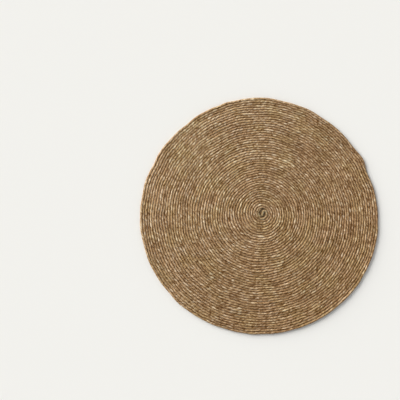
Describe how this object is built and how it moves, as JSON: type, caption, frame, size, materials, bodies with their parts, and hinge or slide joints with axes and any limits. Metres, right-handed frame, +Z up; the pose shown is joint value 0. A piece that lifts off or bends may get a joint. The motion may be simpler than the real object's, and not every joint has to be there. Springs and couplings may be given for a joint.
{
  "type": "seagrass placemat",
  "caption": "Flat round placemat made of one long twisted seagrass cord wound edge to edge in a spiral, with the outer end tucked in at the rim.",
  "frame": {"origin": "middle of the underside, on the surface the mat lies on", "axes": "+Z up, out of the top face; +X towards the side where the outer end of the cord is tucked in; the cord winds outwards clockwise seen from above"},
  "size_m": [0.3824, 0.3794, 0.0036],
  "materials": {
    "seagrass": "matt twisted seagrass cord, straw brown with light, olive and dark strands"
  },
  "bodies": {
    "root": {"mat": "seagrass"}
  },
  "joints": []
}
